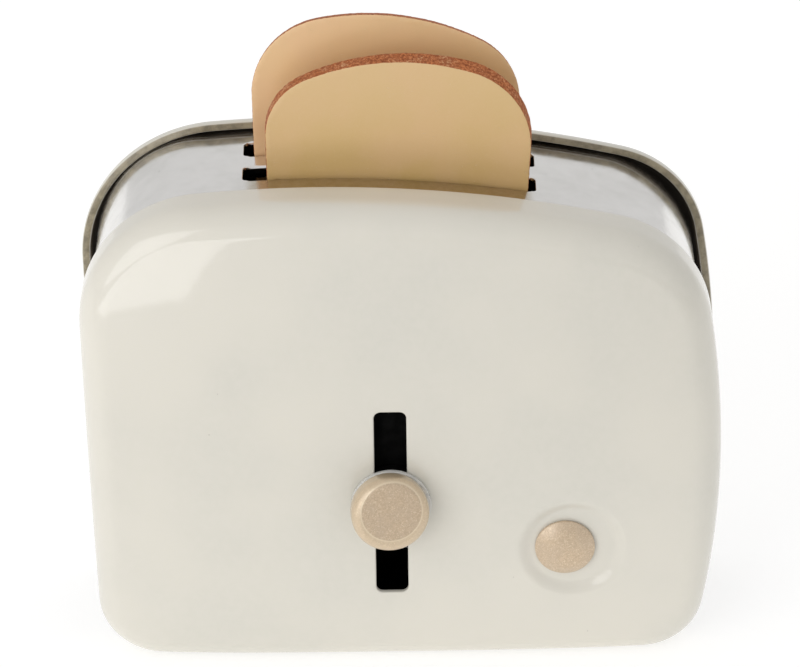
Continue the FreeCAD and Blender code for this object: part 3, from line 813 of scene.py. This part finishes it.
# ---- toast
@dataclass
class Slice:
    """A cast slice: a smaller face and a larger one, with the sloping crust between them."""

    node: str
    left: float
    right: float
    height: float
    arc_radius: float
    peak: float
    leans: tuple
    shoulders: tuple
    skew: float  # how far the smaller face's peak lies aside
    smaller_front: bool
    seed: float
    ragged: float = 0.0  # depth of the sanding marks on the left of the crust

    def __post_init__(self):
        self.low, self.high = cad(self.node)

    def outline(self, less):
        """The edge's outline: less is 0 for the larger face and 1 for the smaller one."""
        side = less * slice_thickness * math.tan(math.radians(slice_side_draft))
        top = less * slice_thickness * math.tan(math.radians(slice_top_draft))
        return Outline(self.left + side, self.right - side, self.low.z, self.low.z + self.height - top,
                       self.arc_radius - top, (self.left + self.right) / 2 + self.peak + less * self.skew,
                       (slice_side_radius, slice_side_radius), self.shoulders,
                       (slice_foot_radius, slice_foot_radius), self.leans)

    def ring(self, share):
        """Points and normals of the edge at a share of the thickness, front to back."""
        less = 1 - share if self.smaller_front else share
        return self.outline(less).points(0.22, like=self.outline(0.0))

    def edge_row(self, share, soft):
        """The crust's points at a share of the thickness, sandy and ragged between the faces."""
        y = self.low.y + (self.high.y - self.low.y) * share
        behind = min(max((share - 0.5) * 2, 0.0), 1.0)
        row = []
        for (x, z), (nx, nz) in zip(*self.ring(share)):
            inwards = slice_edge_soft * soft
            if 0.0 < share < 1.0:
                left = min(max((-x - 1.0) / 8.0, 0.0), 1.0)
                inwards += crust_grain * (0.5 + noise.noise(Vector((x * 4.1, y * 4.1, z * 4.1))))
                marks = max(0.0, noise.noise(Vector((x * 7.0, y * 5.0, z * 7.0))))
                inwards += self.ragged * left * behind * marks
            row.append((x - inwards * nx, y, z - inwards * nz))
        return row

    def face(self, form, share, direction):
        """Adds one flat side, gently uneven."""
        ring, normals = self.ring(share)
        ring = ring - slice_edge_soft * normals
        grid = inside_convex(honeycomb(self.low.xz, self.high.xz, 0.5), ring, 0.2)
        places, faces, rings = triangulate([ring], grid, lambda x, z: False)
        y = self.low.y if share == 0.0 else self.high.y
        border = set(rings[0])
        made = []
        for index, (x, z) in enumerate(places):
            broad = 0.03 + ridge(x, z, self.seed + share, 5.0, 0.03)
            dip = broad + ridge(x, z, self.seed - share, 1.1, 0.006)
            made.append((x, y if index in border else y + direction * dip, z))
        row = form.row(made)
        form.faces.extend(tuple(row[i] for i in face) for face in faces)


def toast(name, cast, crumb_paint, crust_paint):
    """One slice: two faces and the crust edge between them."""
    form = Form()
    ends = [(0.0, 1.0), (0.015, 0.3), (0.06, 0.0)]
    stations = ends + [(share, 0.0) for share in np.linspace(0.12, 0.88, 8)]
    stations += [(0.94, 0.0), (0.985, 0.3), (1.0, 1.0)]
    form.bridge_all([form.row(cast.edge_row(share, soft)) for share, soft in stations])
    cast.face(form, 0.0, 1.0)
    cast.face(form, 1.0, -1.0)
    made = form.piece(name, crumb_paint, merge=0.004, sharp=60.0)
    return line(made, crust_paint, lambda centre, normal: abs(normal.y) < 0.8)


# ---- materials
class Nodes:
    """The procedural nodes of a material or world; coords names its coordinates."""

    def __init__(self, owner, coords):
        owner.use_nodes = True
        self.tree = owner.node_tree
        self.coords = self.tree.nodes.new("ShaderNodeTexCoord").outputs[coords]

    def node(self, kind, settings=(), **inputs):
        """A new node with its settings; inputs go by name, or by number as i0, i1 and so on."""
        made = self.tree.nodes.new(kind)
        for key, value in dict(settings).items():
            setattr(made, key, value)
        for key, value in inputs.items():
            socket = made.inputs[int(key[1:]) if key[1:].isdigit() else key]
            if isinstance(value, bpy.types.NodeSocket):
                self.tree.links.new(value, socket)
            else:
                socket.default_value = value
        return made

    def axis(self, name):
        """One coordinate, in metres."""
        return self.node("ShaderNodeSeparateXYZ", Vector=self.coords).outputs[name]

    def remap(self, value, low, high, to_low=0.0, to_high=1.0):
        """Value brought from one range to another, clamped, with soft ends."""
        return self.node("ShaderNodeMapRange", {"interpolation_type": "SMOOTHSTEP"},
                         i0=value, i1=low, i2=high, i3=to_low, i4=to_high).outputs["Result"]

    def seen(self):
        """Is 1 for what the camera sees directly."""
        return self.node("ShaderNodeLightPath").outputs["Is Camera Ray"]


class Paint(Nodes):
    """A Principled material whose colour, gloss and relief come from procedural nodes."""

    def __init__(self, name, colour, roughness, metallic=0.0, **sockets):
        self.material = bpy.data.materials.new(name)
        super().__init__(self.material, "Object")
        self.shader = self.tree.nodes["Principled BSDF"]
        self.tone, self.relief = colour, None
        sockets.update(Base_Color=(*colour, 1.0), Roughness=roughness, Metallic=metallic)
        for socket, value in sockets.items():
            self.shader.inputs[socket.replace("_", " ")].default_value = value

    def noise(self, size, detail=2.0, roughness=0.5, stretch=(1, 1, 1), distortion=0.0):
        """Noise whose grains are about size millimetres across."""
        mapping = self.node("ShaderNodeMapping", Vector=self.coords, Scale=stretch)
        return self.node("ShaderNodeTexNoise", Vector=mapping.outputs["Vector"], Scale=1.0 / (size * MM),
                         Detail=detail, Roughness=roughness, Distortion=distortion).outputs["Fac"]

    def flakes(self, size, output="Color"):
        """Cells about size millimetres across."""
        return self.node("ShaderNodeTexVoronoi", Vector=self.coords, Scale=1.0 / (size * MM)).outputs[output]

    def specks(self, spacing, core, edge, cloud, low, high):
        """Round specks, one in each cell, kept only where a coarser noise is high."""
        spots = self.remap(self.flakes(spacing, "Distance"), core, edge, 1.0, 0.0)
        return self.times(spots, self.remap(self.noise(cloud, 0.0), low, high))

    def math(self, operation, a, b=0.0):
        """One calculation."""
        return self.node("ShaderNodeMath", {"operation": operation}, i0=a, i1=b).outputs[0]

    def times(self, a, b):
        """The product of two values."""
        return self.math("MULTIPLY", a, b)

    def blend(self, share, a, b):
        """Two colours mixed by share."""
        first, second = ((*tone, 1.0) if isinstance(tone, tuple) else tone for tone in (a, b))
        return self.node("ShaderNodeMix", {"data_type": "RGBA"}, i0=share, i6=first, i7=second).outputs[2]

    def tint(self, colour, share, *span):
        """Lays a colour over the tone by share, which span first remaps."""
        self.tone = self.blend(self.remap(share, *span) if span else share, self.tone, colour)

    def emboss(self, height, depth):
        """Adds relief of a depth in millimetres to what is there."""
        under = {} if self.relief is None else {"Normal": self.relief}
        made = self.node("ShaderNodeBump", Height=height, Distance=depth * MM, Strength=1.0, **under)
        self.relief = made.outputs["Normal"]

    def finish(self, *roughness):
        """Links tone, relief and perhaps the span of a noise as roughness; returns the material."""
        self.plug("Base Color", self.tone)
        if self.relief is not None:
            self.plug("Normal", self.relief)
        if roughness:
            self.plug("Roughness", self.remap(*roughness))
        return self.material

    def plug(self, name, value):
        """Links a socket of the shader."""
        self.tree.links.new(value, self.shader.inputs[name])


def enamel(name, worn_edge=None):
    """Cream satin enamel: faintly mottled, orange-peeled, with specks of dust; its cut edge may be worn."""
    paint = Paint(name, (0.69, 0.665, 0.59), 0.42, Coat_Weight=1.0, Coat_Roughness=0.06, Coat_IOR=1.5)
    paint.tone = (0.665, 0.645, 0.575)
    paint.tint((0.715, 0.685, 0.605), paint.noise(14.0), 0.3, 0.7)
    paint.tint((0.72, 0.685, 0.62), paint.noise(0.9, 3.0, 0.6), 0.25, 0.75, 0.0, 0.35)
    speck = paint.specks(2.6, 0.012, 0.03, 3.0, 0.58, 0.62)
    paint.tint((0.33, 0.29, 0.27), paint.times(speck, 0.55))
    if worn_edge is not None:
        patchy = paint.remap(paint.noise(1.6, 4.0, 0.7), 0.3, 0.7)
        olive = paint.blend(patchy, (0.16, 0.13, 0.075), (0.34, 0.29, 0.19))
        paint.tint(olive, paint.axis("Y"), (worn_edge + 0.02) * MM, (worn_edge + 0.1) * MM, 1.0, 0.0)
    paint.emboss(paint.noise(1.3), 0.0035)
    paint.emboss(paint.noise(0.18, 1.0), 0.0006)
    paint.emboss(speck, 0.02)
    paint.plug("Coat Normal", paint.relief)
    return paint.finish(paint.noise(2.2, 3.0), 0.2, 0.8, 0.36, 0.5)


def primer(name, dark, pale, cut_y=None):
    """The dull inside of a pressing, with thin primer on the sheet; away from a cut edge it turns black as
    painted shade, deep in the gap.
    """
    paint = Paint(name, dark, 0.85, Specular_IOR_Level=0.1)
    paint.tint(pale, paint.noise(3.0, 3.0), 0.3, 0.7)
    # Painted shade: deeper than the cut edge the inside is tinted black, where the gap behind it lies in
    # shade.
    if cut_y is not None:
        paint.tint((0.006, 0.005, 0.004), paint.axis("Y"), (cut_y + 0.25) * MM, (cut_y + 0.9) * MM)
    paint.emboss(paint.noise(0.5, 3.0), 0.01)
    return paint.finish()


def tinplate():
    """Bright rolled tinplate: rolling lines, faint stains, pinholes, and a painted reflection of the toast
    ahead of the front bread slot.
    """
    paint = Paint("tinplate", (0.80, 0.79, 0.775), 0.14, 1.0)
    lines = paint.noise(0.16, 4.0, 0.65, (1.0, 14.0, 1.0))
    paint.tone = (0.82, 0.81, 0.80)
    paint.tint((0.735, 0.725, 0.71), paint.noise(5.0, 4.0, 0.6), 0.35, 0.75)
    paint.tint((0.70, 0.69, 0.68), lines, 0.4, 0.8, 0.0, 0.3)
    paint.tint((0.30, 0.27, 0.24), paint.specks(1.7, 0.02, 0.05, 2.3, 0.55, 0.6))
    # Painted reflection: the band between the front cover and the front bread slot, along the slot, takes the
    # brown of the toast mirrored in it, mottled by noise.
    edge_y, half = bread_slots()[0] - bread_slot_width / 2, bread_slot_length / 2
    ahead = paint.remap(paint.axis("Y"), (edge_y + 0.5) * MM, edge_y * MM)
    aside = paint.math("ABSOLUTE", paint.math("SUBTRACT", paint.axis("X"), bread_slot_x * MM))
    inside = paint.remap(aside, half * MM, (half - 1.2) * MM)
    reflection_mottle = paint.remap(paint.noise(0.7, 4.0, 0.7), 0.25, 0.75, 0.75, 1.0)
    paint.tint((0.47, 0.42, 0.33), paint.times(paint.times(ahead, inside), reflection_mottle))
    paint.emboss(lines, 0.0006)
    paint.emboss(paint.noise(1.1, 3.0), 0.0022)
    return paint.finish(paint.noise(1.4, 4.0, 0.7), 0.25, 0.8, 0.10, 0.24)


def champagne(name, light_gain, centre=None, face_radius=0.0):
    """Metallic champagne paint with fine flakes; a gain lightens the whole copy as painted light, and a
    knob's rim gets a painted sheen.
    """
    paint = Paint(name, (0.55, 0.42, 0.30), 0.42, 0.25, Coat_Weight=0.7, Coat_Roughness=0.16)

    # The gain scales every colour of this copy: painted light, a little for the knob and more for the button.
    def shade(*colour):
        return tuple(light_gain * part for part in colour)

    flake = paint.node("ShaderNodeSeparateColor", Color=paint.flakes(0.1)).outputs
    paint.tone = shade(0.49, 0.37, 0.25)
    paint.tint(shade(0.58, 0.445, 0.305), flake[0], 0.1, 0.9)
    paint.tint(shade(0.80, 0.68, 0.50), flake[1], 0.88, 0.93, 0.0, 0.4)
    paint.tint(shade(0.52, 0.415, 0.31), paint.noise(1.6, 3.0), 0.3, 0.7, 0.0, 0.35)
    # Painted sheen: the knob's rim is paler and warmer than its face, and a thin paler line where they meet
    # is partly wear on the edge, partly painted highlight.
    if centre is not None:
        aside = paint.math("SUBTRACT", paint.axis("X"), centre[0] * MM)
        above = paint.math("SUBTRACT", paint.axis("Z"), centre[1] * MM)
        away = paint.math("SQRT", paint.math("ADD", paint.times(aside, aside), paint.times(above, above)))
        rim = paint.remap(away, (face_radius - 0.08) * MM, (face_radius + 0.04) * MM)
        ring = paint.remap(away, (face_radius + 0.02) * MM, (face_radius + 0.16) * MM, 1.0, 0.0)
        paint.tint(shade(0.74, 0.60, 0.41), paint.times(rim, 0.4))
        paint.tint(shade(0.82, 0.72, 0.54), paint.times(paint.times(rim, ring), 0.45))
    paint.emboss(paint.noise(0.14), 0.004)
    paint.emboss(flake[0], 0.0015)
    return paint.finish(paint.noise(0.5), 0.2, 0.8, 0.34, 0.5)


def clear_plastic():
    """Clear sheet plastic, slightly milky, scuffed along its edge."""
    paint = Paint("clear_plastic", (0.95, 0.94, 0.90), 0.2, Transmission_Weight=0.4, IOR=1.45)
    paint.tone = (0.96, 0.95, 0.92)
    paint.tint((0.82, 0.82, 0.80), paint.noise(0.9), 0.6, 0.75)
    scuff = paint.noise(0.35, 4.0, 0.7)
    paint.emboss(scuff, 0.01)
    return paint.finish(scuff, 0.45, 0.8, 0.08, 0.45)


def black_steel():
    """Sheet steel near-black and almost without gloss, standing in for the deep shade seen through the lever
    slot.
    """
    paint = Paint("black_steel", (0.004, 0.004, 0.004), 0.8, Specular_IOR_Level=0.04)
    paint.tone = (0.0012, 0.0012, 0.0012)
    paint.tint((0.004, 0.004, 0.004), paint.noise(1.2, 4.0), 0.3, 0.7)
    paint.emboss(paint.noise(0.25), 0.006)
    return paint.finish(paint.noise(0.4, 3.0), 0.3, 0.7, 0.5, 0.75)


def plain_steel():
    """Zinc-plated sheet, crossed by fine scratches."""
    paint = Paint("plain_steel", (0.42, 0.42, 0.43), 0.38, 1.0)
    paint.tone = (0.34, 0.34, 0.35)
    paint.tint((0.48, 0.475, 0.46), paint.noise(2.0, 3.0), 0.3, 0.7)
    scratch = paint.noise(0.12, 3.0, 0.6, (1.0, 9.0, 1.0))
    paint.emboss(scratch, 0.002)
    return paint.finish(scratch, 0.3, 0.7, 0.28, 0.5)


def crumb(name, top, bottom, cloud, top_z):
    """Cast resin crumb: paler above and darker below, partly its own colour and partly painted shade near the
    slot, with pale scuffs and small bubbles.
    """
    paint = Paint(name, top, 0.46, Coat_Weight=0.15, Coat_Roughness=0.3)
    paint.tone = bottom
    # Darker towards the slot: partly the crumb's colour, partly painted shade.
    paint.tint(top, paint.axis("Z"), crumb_shade_z * MM, top_z * MM)
    paint.tint(cloud, paint.noise(6.0, 3.0), 0.3, 0.7, 0.0, 0.5)
    paint.tint((0.70, 0.50, 0.27), paint.noise(1.3, 3.0, 0.6, (1.0, 1.0, 0.25)), 0.45, 0.75, 0.0, 0.1)
    grain = paint.noise(0.25, 3.0, 0.7)
    paint.tint((0.72, 0.53, 0.30), grain, 0.5, 0.9, 0.0, 0.35)
    streak = paint.remap(paint.noise(0.5, 5.0, 0.8, (1.0, 1.0, 2.2), 0.6), 0.62, 0.69)
    scuff = paint.times(streak, paint.remap(paint.noise(3.4, 1.0), 0.53, 0.63))
    paint.tint((0.88, 0.74, 0.52), paint.times(scuff, 0.7))
    bubble = paint.specks(0.9, 0.04, 0.09, 1.3, 0.6, 0.64)
    paint.tint((0.86, 0.70, 0.45), paint.times(bubble, 0.35))
    paint.emboss(grain, 0.006)
    paint.emboss(scuff, 0.02)
    paint.emboss(bubble, -0.03)
    return paint.finish(paint.noise(0.8, 4.0), 0.3, 0.8, 0.4, 0.6)


def crust(name, thin):
    """Reddish brown paint brushed on the sandy edge; thin lets more of the crumb show."""
    paint = Paint(name, (0.36, 0.12, 0.05), 0.7, Specular_IOR_Level=0.2)
    grain = paint.noise(0.24, 4.0, 0.8)
    broad = paint.noise(1.8, 3.0, 0.6)
    paint.tone = (0.22, 0.052, 0.015)
    paint.tint((0.62, 0.215, 0.08), grain, 0.36, 0.64)
    paint.tint((0.42, 0.15, 0.07), broad, 0.35, 0.7, 0.0, 0.4)
    worn = paint.math("ADD", grain, paint.times(broad, 0.5))
    paint.tint((0.62, 0.37, 0.19), worn, 0.86 - thin, 1.0 - thin)
    paint.emboss(grain, 0.05)
    return paint.finish()


# ---- stage
def floor_material():
    """Pale floor, white to the camera; to other light it is painted darker far ahead as painted shade, and
    glows a little near by as painted light.
    """
    paint = Paint("pale_floor", floor_bounce, 0.9, Specular_IOR_Level=0.0, Emission_Color=(1.0,) * 4)
    ahead, seen = paint.axis("Y"), paint.seen()
    # Painted shade: far ahead the table is darker to all but the camera.
    paint.tone = floor_far_painted_shade
    paint.tint(floor_bounce, ahead, -floor_shade_span[1] * MM, -floor_shade_span[0] * MM)
    paint.tint(floor_seen, seen)
    # Painted light: a strip of table ahead of the toy glows, though it is no lamp.
    near = paint.remap(ahead, -near_fade[1] * MM, -near_fade[0] * MM, 0.0, near_painted_glow)
    glow = paint.node("ShaderNodeMix", {"data_type": "FLOAT"}, i0=seen, i2=near, i3=floor_glow)
    paint.plug("Emission Strength", glow.outputs[0])
    return paint.finish()


def floor():
    """A plain floor under the toy."""
    form = Form()
    steps = np.linspace(-floor_half, floor_half, 9)
    form.bridge_all([form.row([(x, y, floor_z) for x in steps]) for y in steps], closed=False)
    form.piece("floor", floor_material())


def world():
    """An even pale surround, a little darker ahead; the camera sees it white."""
    made = bpy.data.worlds.new("studio")
    bpy.context.scene.world = made
    nodes = Nodes(made, "Generated")
    light = nodes.tree.nodes["Background"]
    light.inputs["Color"].default_value = (1.0, 0.995, 0.985, 1.0)
    strength = nodes.remap(nodes.axis("Y"), *sky_fade, front_sky, back_sky)
    nodes.tree.links.new(strength, light.inputs["Strength"])
    white = nodes.node("ShaderNodeBackground", Color=(1.0, 1.0, 1.0, 1.0), Strength=backdrop_white)
    mix = nodes.node("ShaderNodeMixShader", i0=nodes.seen(), i1=light.outputs[0], i2=white.outputs[0])
    nodes.tree.links.new(mix.outputs[0], nodes.tree.nodes["World Output"].inputs["Surface"])


def softbox(name, place, target, size, radiance):
    """A rectangular lamp at place, turned to target."""
    lamp = bpy.data.lights.new(name, "AREA")
    lamp.shape = "RECTANGLE"
    lamp.size, lamp.size_y = size[0] * MM, size[1] * MM
    lamp.energy = radiance * math.pi * size[0] * size[1] * MM * MM
    made = place_object(name, lamp)
    made.location = Vector(place) * MM
    made.rotation_euler = (Vector(place) - Vector(target)).to_track_quat("Z", "Y").to_euler()


def camera():
    """The camera looks down, slightly rolled, at a point in the plane of the front cover's face."""
    lens = bpy.data.cameras.new("camera")
    lens.lens = camera_lens
    lens.clip_start, lens.clip_end = 0.01, 50.0
    made = place_object("camera", lens)
    aim = Matrix.Rotation(math.pi / 2 - camera_pitch, 4, "X") @ Matrix.Rotation(-camera_roll, 4, "Z")
    target = Matrix.Translation(Vector((target_x, front_low.y, target_z)) * MM)
    made.matrix_world = target @ aim @ Matrix.Translation((0.0, 0.0, camera_distance * MM))
    bpy.context.scene.camera = made


# ---- assembly
def slices():
    """The two slices of toast, each with its body, slot and node."""
    front = Slice("slice_front", left=-12.25, right=12.2, height=28.3, arc_radius=22.1, peak=0.64,
                  leans=(1.1, 4.0), shoulders=(6.2, 7.95), skew=-0.6, smaller_front=True, seed=2.4,
                  ragged=0.16)
    rear = Slice("slice_rear", left=-13.5, right=11.7, height=30.45, arc_radius=22.7, peak=-2.05,
                 leans=(1.1, -1.1), shoulders=(7.8, 7.0), skew=0.0, smaller_front=False, seed=6.9)
    front_crumb = crumb("crumb_front", (0.69, 0.48, 0.235), (0.63, 0.42, 0.155), (0.72, 0.47, 0.255),
                        front.high.z)
    # The rear slice's crumb is painted lighter than the front's: painted light against the shade the front
    # slice throws on it.
    rear_crumb_painted_lighter = crumb("crumb_rear_painted_lighter", (0.82, 0.56, 0.30), (0.78, 0.50, 0.26), (0.80, 0.52, 0.30), rear.high.z)
    return [(toast("slice_front_toast", front, front_crumb, crust("crust_front", 0.06)),
             "toast_front", "toast", ("slice_front",)),
            (toast("slice_rear_toast", rear, rear_crumb_painted_lighter, crust("crust_rear", 0.02)),
             "toast_rear", "toast", ("slice_rear",))]


def dress():
    """Makes every piece and puts it on its body."""
    steel, black = plain_steel(), black_steel()
    # The front cover's and the band's insides are near-black: painted shade, so the lever slot and the bread
    # slots look dark.
    dark = primer("inside_painted_shade", (0.010, 0.009, 0.007), (0.035, 0.028, 0.019))
    # The rear cover's inside is tan primer, painted black as shade deeper than its cut edge.
    tan = primer("primer_tan", (0.20, 0.155, 0.11), (0.34, 0.28, 0.21), rear_low.y)
    knob_paint = champagne("champagne_knob_rim_sheen", 1.02, knob_face, knob_face_radius)
    made = [
        (front_cover(enamel("enamel_front"), dark), "body", "enamel", ("front_cover",)),
        (rear_cover(enamel("enamel_rear", rear_low.y), tan), "body", "enamel", ("rear_cover",)),
        (band(tinplate(), dark), "body", "tinplate", ("band",)),
        (lift_knob(knob_paint), "lift", "champagne_paint", ("lift_knob",)),
        (knob_washer(clear_plastic()), "lift", "clear_plastic", ("knob_washer",)),
        # The button's paint is lightened more than the knob's, as painted light.
        (dial_button(champagne("champagne_button", 1.08)), "dial", "champagne_paint", ("button",)),
        *slices(),
    ]
    for piece, body, slot, nodes in made:
        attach(piece, body)
        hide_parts(*nodes)
    # The lift plate and the washers behind it get the near-black steel, painted shade behind the lever slot.
    for node, material in (("inner_washer", black), ("spring_washer", black), ("lift_plate", black),
                           ("bread_tray", steel), ("tray_rivets", steel), ("button_washer", steel)):
        mesh = frame["nodes"][node].data
        mesh.materials.clear()
        mesh.materials.append(material)


def lamps():
    """A softbox at the upper left front and a low lamp on the table, in an even surround."""
    softbox("key", key_place, key_target, key_size, key_radiance)
    softbox("low_glow", glow_place, glow_target, glow_size, glow_radiance)
    world()


bpy.context.scene.view_settings.view_transform = "Standard"
camera()
floor()
lamps()
dress()
